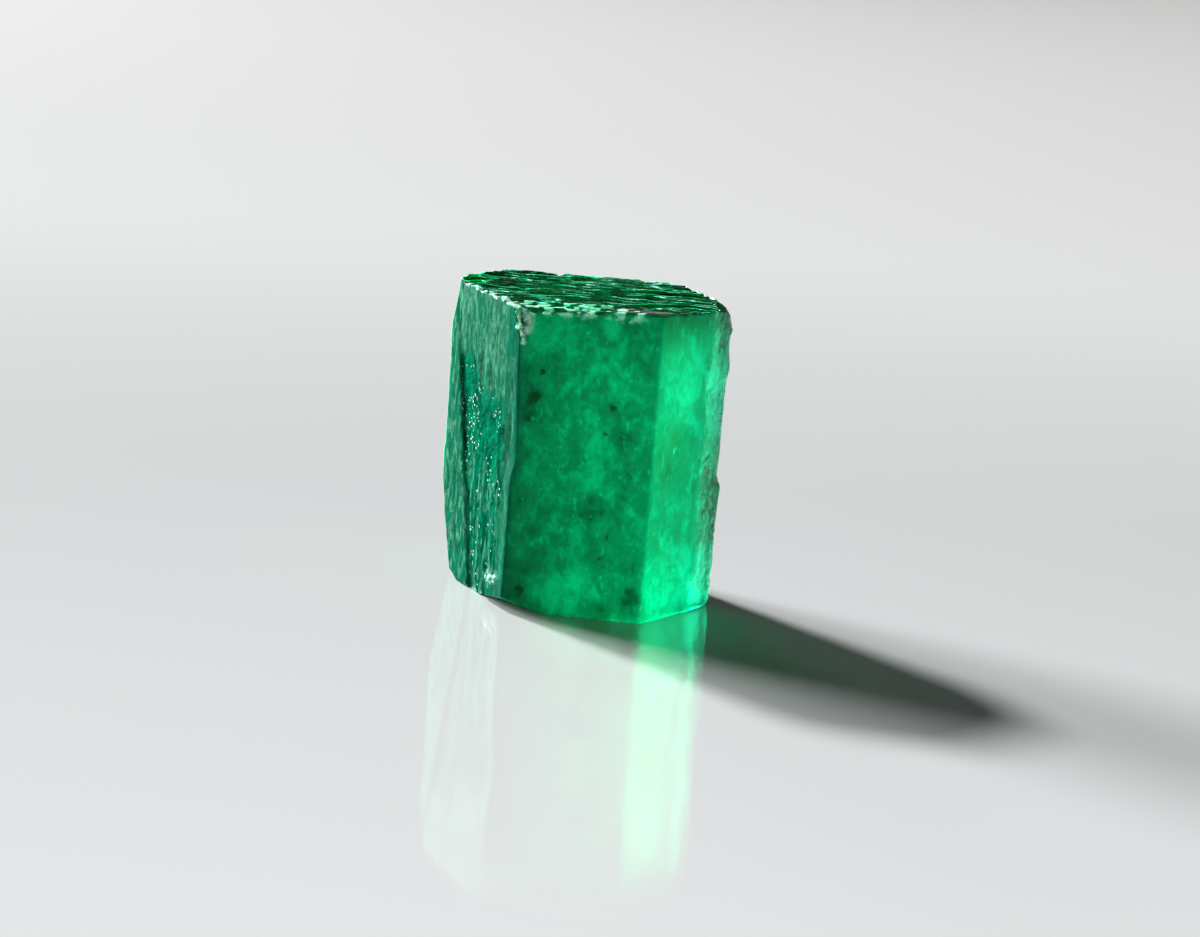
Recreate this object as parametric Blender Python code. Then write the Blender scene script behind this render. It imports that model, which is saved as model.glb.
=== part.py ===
"""Raw emerald crystal: one six-sided prism of beryl, broken off at both ends.

The crystal is one solid. It starts as a block, and the planes of a beryl crystal cut it: six prism
faces at 60 degrees, a broken top that dips a little towards the front left, and a flat cleaved base
that it stands on. Smaller planes then take off the worn corners and chips, the edges are blunted,
and each face gets its own relief: upright grooves and etched hollows on the left faces, long
terraces on the top, lumps along the right edge.

It is modelled in millimetres about the crystal's own axis, the front face towards -Y, and is scaled
to metres at the end, with the origin under the middle of its box.
"""

import math

import bmesh
import bpy
from mathutils import Matrix, Vector, noise

MM = 0.001

# ---- Driving dimensions, in millimetres and degrees ------------------------------------------------

HEIGHT = 9.53  # base to top, on the axis
TOP_RISE_RIGHT = 0.010  # the top climbs this much a millimetre to the right
TOP_RISE_BACK = 0.019  # and this much a millimetre to the back

# Prism faces: azimuth of the outward normal, distance from the axis
PRISM_FACES = {
    "front": (-90.0, 3.665),
    "right_front": (-30.0, 4.178),
    "right_back": (30.0, 3.90),
    "back": (90.0, 3.665),
    "left_back": (150.0, 4.56),
    "left_front": (210.0, 3.235),
}

# Breaks and worn corners: a point on the plane, then azimuth and elevation of its outward normal
BREAKS = {
    "front_left_base_chip": ((-0.22, -3.67, 0.0), 233.7, -65.6),
    "front_left_top_chip": ((-1.49, -3.44, 9.40), 240.0, 12.5),
    "front_top_wear": ((0.00, -3.665, 9.30), -95.0, 48.0),
    "left_lower_wear": ((-4.40, 1.19, 2.60), 188.0, -9.0),
    "left_foot_chip": ((-4.02, 1.00, 0.12), 196.0, -38.0),
    "left_upper_wear": ((-4.40, 1.19, 8.30), 186.0, 8.0),
    "back_right_bevel": ((1.20, 3.665, 5.00), 64.0, 0.0),
    "back_left_base_chip": ((-2.90, 3.55, 0.55), 118.0, -38.0),
    "right_base_chip": ((4.52, -0.30, 0.00), 4.0, -40.0),
}

CORNER_WEAR_RADIUS = 0.80  # the top's right corner is worn to about this radius
CORNER_WEAR_CENTRE = (3.80, -0.32, 8.75)
CORNER_WEAR_ELEVATIONS = (18.0, 40.0, 62.0)

EDGE_WEAR = 0.055  # width of the blunted edges

# Spacing of the relief's cells: across each face, and up it
COLUMN_PITCH = {
    "front": 0.42,
    "right_front": 0.24,
    "right_back": 0.26,
    "back": 0.30,
    "left_back": 0.24,
    "left_front": 0.19,
}
ROW_PITCH = 0.42
RIDGE_PITCH = 0.12  # four cells to a terrace
TOP_CELL = 0.32
SLIVER = 0.03  # a cut passes a corner that is nearer than this

# How far the right edge stands back from its plane at each height: lumps and notches
RIGHT_EDGE_INSET = (
    (0.00, 0.07),
    (0.40, 0.03),
    (2.40, 0.03),
    (3.30, 0.02),
    (3.75, 0.00),
    (4.15, 0.09),
    (5.00, 0.06),
    (6.60, 0.06),
    (7.20, 0.04),
    (7.60, 0.00),
    (7.95, 0.02),
    (8.20, 0.08),
    (8.60, 0.01),
    (9.60, 0.00),
)
RIGHT_EDGE_REACH = 1.5  # the lumps fade this far from the edge

# The same for the left face along the front left edge, which is chipped back in the middle
FRONT_LEFT_EDGE_INSET = (
    (0.00, 0.00),
    (1.70, 0.03),
    (4.10, 0.04),
    (4.55, 0.14),
    (5.00, 0.14),
    (6.60, 0.07),
    (7.80, 0.02),
    (9.60, 0.00),
)
FRONT_LEFT_EDGE_REACH = 0.9

# The left face keeps a smooth strip beside that edge; past it an etched field runs to a slanting line
STRIP_WIDTH = 0.42
ETCH_FOOT = (2.75, 0.00)  # the line's lower end: distance from the front left edge, height
ETCH_HEAD = (5.00, 8.10)
ETCH_TOP = 6.40  # above this the face keeps its frosted skin
ETCH_DEPTH = 0.035
RAGGEDNESS = 0.25  # how far the field's rim wanders
CLEFT_DEPTH = 0.045  # a narrow cleft follows the slanting line
CLEFT_WIDTH = 0.12
LEDGE_HEIGHT = 1.00  # a ledge crosses the face here, and below it the skin is whole again
LEDGE_RUN = 1.50

# Grooves and lumps of each face: greatest depth, width across the face, length up it
GROOVES = {
    "front": (0.010, 0.60, 2.40),
    "right_front": (0.040, 0.24, 1.30),
    "right_back": (0.060, 0.27, 1.10),
    "back": (0.055, 0.30, 2.00),
    "left_back": (0.080, 0.24, 1.70),
    "left_front": (0.065, 0.21, 1.60),
}
LUMPS = {
    "front": (0.016, 1.30, 2.00),
    "right_front": (0.020, 0.70, 0.80),
    "right_back": (0.110, 0.90, 1.00),
    "back": (0.030, 1.20, 1.60),
    "left_back": (0.030, 0.90, 1.20),
    "left_front": (0.015, 0.30, 0.60),
}
STEP_DEPTH = 0.11  # the back face is stepped
STEP_SIZE = (1.40, 3.20)
HOLLOW_DEPTH = 0.13  # the left back face is hollowed in its lower half
HOLLOW_SIZE = (0.80, 1.50)
HOLLOW_FADE = (3.50, 6.50)

# The top's terraces run along the front edge and turn to follow the left face's
TERRACE_DEPTH = 0.085
TERRACE_SIZE = (1.50, 0.26)
TERRACE_BEND = 0.30
SWELL_DEPTH = 0.03
SWELL_SIZE = (2.00, 1.40)
SMOOTH_LIP_DEPTH = (0.50, 1.30)  # beside the front edge, right of the middle, the terraces fade
SMOOTH_LIP_START = (0.60, 1.40)

BREAK_ROUGHNESS = 0.03
NEAR_FACE = 0.16  # a point this far under a face no longer follows its relief

# ---- Surface colour ---------------------------------------------------------------------------------

EMERALD_GREEN = (0.0, 0.33, 0.10, 1.0)
EMERALD_ROUGHNESS = 0.18
BERYL_IOR = 1.577


def direction(azimuth, elevation=0.0):
    """Unit vector at an azimuth from +X and an elevation, both in degrees."""
    turn = math.radians(azimuth)
    lift = math.radians(elevation)
    return Vector((math.cos(turn) * math.cos(lift), math.sin(turn) * math.cos(lift), math.sin(lift)))


def blend(low, high, value):
    """0 below low, 1 above high, and a smooth step between."""
    share = min(1.0, max(0.0, (value - low) / (high - low)))
    return share * share * (3.0 - 2.0 * share)


def wave(u, v, size, seed):
    """Smooth noise from -1 to 1 whose marks have a width and a length."""
    width, length = size
    return noise.noise(Vector((u / width, v / length, seed)))


def marks(table, name, across, height):
    """Depth from 0 to its greatest, in the pattern that a table gives a face."""
    depth, width, length = table[name]
    seed = PRISM_FACES[name][0] * 0.137 + depth * 10.0
    return depth * (0.5 + 0.5 * wave(across, height, (width, length), seed))


# ---- Cutting the block ------------------------------------------------------------------------------


def cut_away(bm, point, normal):
    """Take off everything past the plane and close the cut with one face."""
    geometry = bm.verts[:] + bm.edges[:] + bm.faces[:]
    cut = bmesh.ops.bisect_plane(
        bm, geom=geometry, dist=1e-5, plane_co=point, plane_no=normal, clear_outer=True
    )
    rim = [item for item in cut["geom_cut"] if isinstance(item, bmesh.types.BMEdge)]
    rim = [edge for edge in rim if edge.is_boundary]
    if rim:
        bmesh.ops.edgeloop_fill(bm, edges=rim)


def cut_crystal():
    """The block cut by the crystal's own planes."""
    bm = bmesh.new()
    block = 4.0 * HEIGHT
    bmesh.ops.create_cube(bm, size=block, matrix=Matrix.Translation((0.0, 0.0, 0.5 * block)))
    for azimuth, distance in PRISM_FACES.values():
        normal = direction(azimuth)
        cut_away(bm, normal * distance, normal)
    cut_away(bm, Vector((0.0, 0.0, HEIGHT)), top_normal())
    return bm


def break_corners(bm):
    """Take off the worn corners and the chips, which keep their sharp rims."""
    for point, azimuth, elevation in BREAKS.values():
        cut_away(bm, Vector(point), direction(azimuth, elevation))
    for elevation in CORNER_WEAR_ELEVATIONS:
        normal = direction(0.0, elevation)
        cut_away(bm, Vector(CORNER_WEAR_CENTRE) + normal * CORNER_WEAR_RADIUS, normal)
    bmesh.ops.recalc_face_normals(bm, faces=bm.faces)


def top_normal():
    return Vector((-TOP_RISE_RIGHT, -TOP_RISE_BACK, 1.0)).normalized()


def blunt_edges(bm):
    """Blunt every edge but those of the base, which cleaved clean."""
    worn = [edge for edge in bm.edges if max(vert.co.z for vert in edge.verts) > 0.0]
    bmesh.ops.bevel(
        bm,
        geom=worn,
        offset=EDGE_WEAR,
        offset_type="OFFSET",
        segments=1,
        profile=0.5,
        affect="EDGES",
        material=-1,
    )


# ---- Cells for the relief ---------------------------------------------------------------------------


def faces_along(bm, normal, tolerance=0.02):
    """Faces that look the way of a normal."""
    return [face for face in bm.faces if (face.normal - normal).length < tolerance]


def slice_faces(bm, faces, along, pitch):
    """Cut faces into strips of about the pitch, by planes square to a direction."""
    reach = [along.dot(vert.co) for face in faces for vert in face.verts]
    start = min(reach)
    count = max(1, round((max(reach) - start) / pitch))
    step = (max(reach) - start) / count
    for index in range(1, count):
        place = start + step * index
        crossed = [face for face in faces if face.is_valid and crosses(face, along, place)]
        edges = {edge for face in crossed for edge in face.edges}
        verts = {vert for face in crossed for vert in face.verts}
        cut = bmesh.ops.bisect_plane(
            bm,
            geom=list(verts) + list(edges) + crossed,
            dist=SLIVER,
            plane_co=along * place,
            plane_no=along,
        )
        fresh = [item for item in cut["geom"] if isinstance(item, bmesh.types.BMFace)]
        faces = [face for face in faces if face.is_valid and face not in crossed] + fresh


def crosses(face, along, place):
    sides = [along.dot(vert.co) - place for vert in face.verts]
    return min(sides) < -SLIVER and max(sides) > SLIVER


def lay_cells(bm):
    """Rows round the sides, columns up each prism face, and fine strips along the top."""
    top = faces_along(bm, top_normal())
    base = faces_along(bm, Vector((0.0, 0.0, -1.0)))
    sides = [face for face in bm.faces if face not in top and face not in base]
    slice_faces(bm, sides, Vector((0.0, 0.0, 1.0)), ROW_PITCH)
    for name, (azimuth, _distance) in PRISM_FACES.items():
        faces = faces_along(bm, direction(azimuth))
        slice_faces(bm, faces, direction(azimuth + 90.0), COLUMN_PITCH[name])
    slice_faces(bm, faces_along(bm, top_normal()), Vector((0.0, 1.0, 0.0)), RIDGE_PITCH)
    slice_faces(bm, faces_along(bm, top_normal()), Vector((1.0, 0.0, 0.0)), TOP_CELL)


# ---- Relief: how deep each face is worn at a place, in millimetres ----------------------------------


def edge_inset(profile, height):
    """An edge's inset at a height, eased between the listed heights."""
    for (low, inset), (high, next_inset) in zip(profile, profile[1:]):
        if height <= high:
            return inset + (next_inset - inset) * blend(low, high, height)
    return profile[-1][1]


def etch_line(height):
    """Where the slanting line is at a height, as a distance from the front left edge."""
    share = (height - ETCH_FOOT[1]) / (ETCH_HEAD[1] - ETCH_FOOT[1])
    return ETCH_FOOT[0] + (ETCH_HEAD[0] - ETCH_FOOT[0]) * share


def etched_share(run, height):
    """1 in the etched field of the left face, 0 on the skin that is left round it."""
    ragged = RAGGEDNESS * wave(run, height, (0.5, 1.2), 3.1)
    share = blend(STRIP_WIDTH - 0.08, STRIP_WIDTH + 0.08, run + 0.5 * ragged)
    share *= 1.0 - blend(-0.1, 0.1, run - etch_line(height))
    share *= 1.0 - blend(ETCH_TOP - 0.4, ETCH_TOP + 0.4, height + 3.0 * ragged - 0.25 * run)
    if run < LEDGE_RUN:
        share *= blend(LEDGE_HEIGHT - 0.05, LEDGE_HEIGHT + 0.05, height + 0.12 * run)
    return share


def left_front_relief(across, height):
    """Etched and grooved, with a cleft; across runs from the left edge to the front left edge."""
    run = LEFT_FRONT_END - across
    etched = ETCH_DEPTH + marks(GROOVES, "left_front", across, height)
    depth = etched_share(run, height) * etched + marks(LUMPS, "left_front", across, height)
    depth += CLEFT_DEPTH * math.exp(-(((run - etch_line(height)) / CLEFT_WIDTH) ** 2))
    near_edge = 1.0 - blend(0.15, FRONT_LEFT_EDGE_REACH, run)
    return depth + near_edge * edge_inset(FRONT_LEFT_EDGE_INSET, height)


def front_relief(across, height):
    """Nearly flat, with shallow growth hillocks."""
    return marks(GROOVES, "front", across, height) + marks(LUMPS, "front", across, height)


def right_front_relief(across, height):
    """Smooth beside the front, grooved and lumpy towards the right edge."""
    near_edge = blend(RIGHT_FRONT_END - RIGHT_EDGE_REACH, RIGHT_FRONT_END - 0.2, across)
    depth = edge_inset(RIGHT_EDGE_INSET, height) + marks(GROOVES, "right_front", across, height)
    return near_edge * depth + marks(LUMPS, "right_front", across, height)


def right_back_relief(across, height):
    """Lumps at the right edge, where across starts, then broken grooves."""
    near_edge = 1.0 - blend(0.2, RIGHT_EDGE_REACH, across - RIGHT_BACK_START)
    rough = marks(GROOVES, "right_back", across, height) + marks(LUMPS, "right_back", across, height)
    return near_edge * edge_inset(RIGHT_EDGE_INSET, height) + (1.0 - 0.8 * near_edge) * rough


def back_relief(across, height):
    """Broad steps with upright grooves across them."""
    step = blend(-0.08, 0.08, wave(across, height, STEP_SIZE, 31.2))
    grooved = marks(GROOVES, "back", across, height) + marks(LUMPS, "back", across, height)
    return STEP_DEPTH * step + grooved


def left_back_relief(across, height):
    """Grooved like the left face, with hollows in the lower half."""
    hollow = blend(0.05, 0.30, wave(across, height, HOLLOW_SIZE, 37.7))
    hollow *= 1.0 - blend(HOLLOW_FADE[0], HOLLOW_FADE[1], height)
    grooved = marks(GROOVES, "left_back", across, height) + marks(LUMPS, "left_back", across, height)
    return HOLLOW_DEPTH * hollow + grooved


def top_relief(right, back):
    """Terraces broken along their length, over a gentle swell."""
    from_front = back + PRISM_FACES["front"][1]
    from_left = PRISM_FACES["left_front"][1] - direction(210.0).dot(Vector((right, back, 0.0)))
    bend = TERRACE_BEND * wave(right, back, (1.5, 1.2), 53.1)
    inwards = min(from_front, 0.9 * from_left + 0.4) + bend
    along = right if from_front < from_left else back
    crest = 1.0 - min(1.0, abs(wave(along, inwards, TERRACE_SIZE, 47.9)) / 0.40)
    swell = 0.5 + 0.5 * wave(right, back, SWELL_SIZE, 59.3)
    lip = (1.0 - blend(*SMOOTH_LIP_DEPTH, from_front)) * blend(*SMOOTH_LIP_START, right)
    return (TERRACE_DEPTH * (1.0 - crest) + SWELL_DEPTH * swell) * (1.0 - 0.8 * lip)


SIDE_RELIEF = {
    "front": front_relief,
    "right_front": right_front_relief,
    "right_back": right_back_relief,
    "back": back_relief,
    "left_back": left_back_relief,
    "left_front": left_front_relief,
}


def prism_corner(first, second):
    """Where two prism faces meet, as a point on the base plane."""
    turn_1, distance_1 = PRISM_FACES[first]
    turn_2, distance_2 = PRISM_FACES[second]
    square = Matrix((direction(turn_1).xy, direction(turn_2).xy))
    return square.inverted() @ Vector((distance_1, distance_2))


LEFT_FRONT_END = direction(300.0).xy.dot(prism_corner("left_front", "front"))
RIGHT_FRONT_END = direction(60.0).xy.dot(prism_corner("right_front", "right_back"))
RIGHT_BACK_START = direction(120.0).xy.dot(prism_corner("right_front", "right_back"))


def nearness(gap):
    return 1.0 - min(1.0, max(0.0, gap) / NEAR_FACE)


def carve_relief(bm):
    """Move each point inwards by the relief of the faces that it lies on."""
    bm.normal_update()
    up = top_normal()
    top_distance = up.z * HEIGHT
    moves = []
    for vert in bm.verts:
        place = vert.co.copy()
        shift = Vector()
        covered = 0.0
        for name, (azimuth, distance) in PRISM_FACES.items():
            normal = direction(azimuth)
            share = nearness(distance - normal.dot(place))
            covered = max(covered, share)
            if share > 0.0:
                across = direction(azimuth + 90.0).dot(place)
                shift -= normal * share * SIDE_RELIEF[name](across, place.z)
        share = nearness(top_distance - up.dot(place))
        covered = max(covered, share)
        if share > 0.0:
            shift -= up * share * top_relief(place.x, place.y)
        shift -= vert.normal * (1.0 - covered) * BREAK_ROUGHNESS * (1.0 + noise.noise(place * 2.0))
        if place.z < 1e-4:
            shift.z = 0.0
        moves.append(shift)
    for vert, shift in zip(bm.verts, moves):
        vert.co += shift


# ---- Finishing --------------------------------------------------------------------------------------


def stand_on_origin(bm):
    """Put the middle of the box over the origin and the base at height zero."""
    low = Vector([min(vert.co[axis] for vert in bm.verts) for axis in range(3)])
    high = Vector([max(vert.co[axis] for vert in bm.verts) for axis in range(3)])
    middle = (low + high) / 2.0
    bmesh.ops.translate(bm, verts=bm.verts, vec=(-middle.x, -middle.y, -low.z))
    bmesh.ops.scale(bm, verts=bm.verts, vec=(MM, MM, MM))


def emerald_material():
    """Beryl coloured by chromium: deep green, glossy where it isn't worn."""
    material = bpy.data.materials.new("raw_emerald")
    material.use_nodes = True
    shader = material.node_tree.nodes["Principled BSDF"]
    shader.inputs["Base Color"].default_value = EMERALD_GREEN
    shader.inputs["Roughness"].default_value = EMERALD_ROUGHNESS
    shader.inputs["Metallic"].default_value = 0.0
    shader.inputs["IOR"].default_value = BERYL_IOR
    shader.inputs["Transmission Weight"].default_value = 0.6
    return material


def make_crystal(collection):
    bm = cut_crystal()
    blunt_edges(bm)
    break_corners(bm)
    lay_cells(bm)
    carve_relief(bm)
    bmesh.ops.triangulate(bm, faces=bm.faces, quad_method="BEAUTY", ngon_method="BEAUTY")
    stand_on_origin(bm)
    mesh = bpy.data.meshes.new("emerald_crystal")
    bm.to_mesh(mesh)
    bm.free()
    mesh.materials.append(emerald_material())
    crystal = bpy.data.objects.new("emerald_crystal", mesh)
    collection.objects.link(crystal)
    return crystal


def main():
    for old in list(bpy.data.objects):
        bpy.data.objects.remove(old, do_unlink=True)
    collection = bpy.data.collections.new("raw_emerald_crystal")
    bpy.context.scene.collection.children.link(collection)
    make_crystal(collection)


main()
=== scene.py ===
"""Looks of a raw emerald crystal: the worn skin of the beryl prism, its cloudy green inside, and the
pale studio round it.

The frame is in metres. The crystal's skin is worked in millimetres, in the same place, and is scaled
back at the end. The prism stands upright, its front face towards -Y.
"""

import math

import bmesh
import bpy
from mathutils import Matrix, Vector, noise

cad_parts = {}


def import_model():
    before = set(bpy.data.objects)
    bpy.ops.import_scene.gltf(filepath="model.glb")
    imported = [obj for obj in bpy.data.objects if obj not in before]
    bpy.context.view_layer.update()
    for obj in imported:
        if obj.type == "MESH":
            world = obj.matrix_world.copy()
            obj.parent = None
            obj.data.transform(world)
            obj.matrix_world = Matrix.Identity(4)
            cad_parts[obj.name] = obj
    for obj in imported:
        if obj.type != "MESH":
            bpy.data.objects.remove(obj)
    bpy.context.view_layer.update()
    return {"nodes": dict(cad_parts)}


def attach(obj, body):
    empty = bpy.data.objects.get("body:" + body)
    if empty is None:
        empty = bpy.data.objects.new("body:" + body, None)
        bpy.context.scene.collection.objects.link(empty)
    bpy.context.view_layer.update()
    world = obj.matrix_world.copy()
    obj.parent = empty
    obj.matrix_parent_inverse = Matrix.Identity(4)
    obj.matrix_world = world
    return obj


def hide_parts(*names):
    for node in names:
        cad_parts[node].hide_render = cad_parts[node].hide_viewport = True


MM = 0.001

# ---- Camera and studio ---------------------------------------------------------------------------

CAMERA_AZIMUTH = 5.97  # degrees round from the front face towards the right edge
CAMERA_PITCH = 11.17  # looking down
CAMERA_ROLL = 4.39
CAMERA_PLACE = (10.60 * MM, -94.99 * MM, 22.82 * MM)
LENS = 93.0  # mm, and the sensor's width
SENSOR = 36.0
NEAREST = 1.0 * MM
FARTHEST = 5.0

KEY_AZIMUTH = 135.3  # the key stands far off, back left, as seen from above, from +X
KEY_ELEVATION = 33.0
KEY_STRENGTH = 4.7
KEY_SOFTNESS = 7.0  # degrees that it spans
SOFTBOX_DISTANCE = 0.60
SOFTBOXES = {  # azimuth, elevation, size and watts of low lamps that shine through the crystal
    "soft_box": (118.0, 11.0, 0.22, 0.68),
    "edge_box": (148.0, 10.0, 0.20, 10.50),
}
WALL_RADIANCE = 0.52  # pale walls stand far round the table, up to this elevation
WALL_TOP = 7.0
WALL_FADE = 4.5
DARK_RADIANCE = 0.03  # and the room is dim above them
WALL_COLOUR = "#fffefc"
FLOOR_COLOUR = "#d8dadb"
FLOOR_ROUGHNESS = 0.05
FLOOR_HALF = 0.9
FLOOR_GAP = 0.01 * MM  # so that the base and the floor are not in one plane

# ---- The crystal ---------------------------------------------------------------------------------

PRISM_FACES = {
    "front": -90.0,
    "right_front": -30.0,
    "right_back": 30.0,
    "back": 90.0,
    "left_back": 150.0,
    "left_front": 210.0,
}
TOP_TILT = (-0.010, -0.019)  # the top's normal leans this far left and forward

WELD = 0.0001  # mm within which the solid's points are one
CUTS = 3  # each facet of the solid is cut into 16
SHARP_ANGLE = 38.0  # a crease sharper than this stays an edge
RIDGE_WIDTH = 0.35  # how far from 0 its noise is at the foot of a ridge

# Noise on the skin, by name: the width and length of its marks in millimetres, and its seed
NOISES = {
    "left rag": (0.50, 1.20, 3.1),
    "left breaks": (0.25, 0.40, 8.1),
    "left slats": (0.20, 0.55, 7.3),
    "left patches": (0.22, 0.55, 17.9),
    "left grain": (0.16, 0.34, 11.9),
    "left grooves": (0.15, 0.70, 5.7),
    "left streaks": (0.22, 0.90, 2.2),
    "left blotches": (0.70, 1.00, 4.6),
    "left swarms": (0.90, 0.80, 13.7),
    "front bruises": (0.45, 0.35, 61.0),
    "front chip": (0.20, 0.20, 64.0),
    "front hillocks": (0.50, 0.90, 21.0),
    "right rag": (0.60, 0.80, 12.4),
    "right scratches": (0.12, 0.40, 15.3),
    "right crackle": (0.50, 0.14, 18.8),
    "right crackled": (0.70, 0.70, 19.1),
    "right lumps": (0.30, 0.30, 23.4),
    "right hillocks": (0.40, 1.00, 25.0),
    "right specks": (0.20, 0.26, 147.0),
    "right crumbs": (0.16, 0.18, 149.0),
    "upright cracks": (0.55, 1.40, 135.0),
    "level cracks": (1.40, 0.45, 139.0),
    "broken cracks": (0.60, 0.60, 143.0),
    "right back scratches": (0.085, 0.70, 35.3),
    "right back lumps": (0.25, 0.35, 33.4),
    "right back patches": (0.90, 1.60, 37.5),
    "back slats": (0.17, 1.90, 41.3),
    "back grain": (0.16, 0.34, 43.9),
    "left back slats": (0.15, 1.60, 47.3),
    "left back grain": (0.16, 0.30, 49.9),
    "terrace drift": (1.80, 1.40, 53.1),
    "coarse terraces": (3.00, 0.42, 73.9),
    "fine terraces": (1.50, 0.17, 77.2),
    "crest patches": (0.80, 0.80, 88.0),
    "crest sugar": (0.50, 0.50, 91.0),
    "cloud drift": (0.55, 0.75, 101.0),
    "fine cloud drift": (0.20, 0.30, 103.0),
    "cloud rise": (0.55, 0.75, 107.0),
    "fine cloud rise": (0.20, 0.30, 109.0),
    "mineral grains": (0.16, 0.13, 113.0),
    "front sugar": (0.30, 0.36, 121.0),
    "left sugar": (0.20, 0.20, 127.0),
    "corner sugar": (0.20, 0.25, 131.0),
}


def direction(azimuth, elevation=0.0):
    """The unit vector with an azimuth, anticlockwise from +X, and an elevation, in degrees."""
    turn = math.radians(azimuth)
    lift = math.radians(elevation)
    return Vector((math.cos(turn) * math.cos(lift), math.sin(turn) * math.cos(lift), math.sin(lift)))


def after(edge, value):
    """0 below an edge's low end, 1 above its high end, and a smooth step between."""
    low, high = edge
    share = min(1.0, max(0.0, (value - low) / (high - low)))
    return share * share * (3.0 - 2.0 * share)


def before(edge, value):
    """1 below an edge's low end, 0 above its high end, and a smooth step between."""
    return 1.0 - after(edge, value)


def wave(u, v, name):
    """A smooth noise from -1 to 1."""
    width, length, seed = NOISES[name]
    return noise.noise(Vector((u / width, v / length, seed)))


def swell(u, v, name):
    """A smooth noise from 0 to 1."""
    return 0.5 + 0.5 * wave(u, v, name)


def ridge(u, v, name):
    """0 in the hollows and 1 on the thin winding crests of a noise."""
    return max(0.0, 1.0 - abs(wave(u, v, name)) / RIDGE_WIDTH)


# ---- Relief and finish of each face --------------------------------------------------------------
#
# Each skin function is given a place on its face, in millimetres, and returns how deep the skin is
# worn there, and how frosted, how etched and how sugary it is, from 0 to 1. Most pairs are edges:
# where something begins or begins to end, and where it is full or has ended. A DEPTH is in
# millimetres, and a FROST, ETCH or SUGAR is how much a thing has of it.

# Left front face: runs are from the front edge, and RAG is how far a border winds
STRIP_EDGE = (0.73, 0.97)
STRIP_END = (7.5, 8.3)
STRIP_RAG = 0.20
STRIP_FROST = 0.42
STRIP_FROST_RAG = 0.0375
CLEFT_FOOT = (2.75, 0.00)
CLEFT_HEAD = (5.00, 8.10)
CLEFT_EDGE = (-0.10, 0.10)
CLEFT_WIDTH = (0.06, 0.22)
CLEFT_OPENS = (2.8, 3.4)
CLEFT_CLOSES = (6.8, 7.4)
CLEFT_FOOT_CLOSES = (0.9, 1.3)
CLEFT_DEPTH = 0.035
CLEFT_SUGAR = 0.70
ETCH_TOP = (5.85, 6.85)
ETCH_TOP_RAG = 0.75
ETCH_TOP_SLOPE = 0.35
ETCH_TOP_RUN = 2.2
ETCH_DEPTH = 0.030
ETCH_GRAIN_DEPTH = 0.018
ETCH_SUGAR = 0.68
SWARM_EDGE = (-0.10, 0.25)
SLATS_TOP = (3.4, 4.9)
SLATS_RAG = 0.50
SLAT_EDGE = (-0.04, 0.20)
SLAT_BREAKS = 0.80
SLAT_COVER = 0.8  # of the etching that slats keep off
SLAT_SHALLOWS = 0.5  # of the etching's depth that is lost among slats
SLAT_FROST = 0.48
SLAT_STREAK_FROST = 0.34
GROOVE_DEPTH = 0.010
OUTER_ETCH = 0.6
OUTER_FROST = 0.18
PATCH_EDGE = (-0.15, 0.25)
PATCH_BREAKS = 0.48
PATCH_FROST = 0.55
UPPER_FROST = 0.42
STREAK_EDGE = (-0.35, 0.15)
STREAK_FROST = 0.30
BLOTCH_FROST = 0.39
WHITER_FROM = (1.6, 3.2)
WHITER = (0.85, 0.45)
LEDGE_HEIGHT = 1.00
LEDGE_SLOPE = 0.12
LEDGE_START = (0.2, 0.6)
LEDGE_END = (1.5, 1.9)
LEDGE_FOOT = (-0.34, -0.24)
LEDGE_RAG = 0.125
LEDGE_LIP = (0.0, 0.1)
LEDGE_LINE = (-0.05, 0.05)
LEDGE_PLAIN_END = (1.2, 1.6)
LEDGE_RISE = 0.02
# The ledge is frosted and sugary white: partly crushed beryl, partly a painted glint along its lip
LEDGE_GLINT_SUGAR = 0.85
NOTCH_FOOT = (-0.18, 0.04)
NOTCH_TOP = (0.10, 0.50)
NOTCH_DEPTH = 0.06
LEFT_MARGIN = (0.0, 0.12)


def cleft_line(height):
    """Where the slanting cleft is at a height, as a distance from the front left edge."""
    share = (height - CLEFT_FOOT[1]) / (CLEFT_HEAD[1] - CLEFT_FOOT[1])
    return CLEFT_FOOT[0] + (CLEFT_HEAD[0] - CLEFT_FOOT[0]) * share


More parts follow.
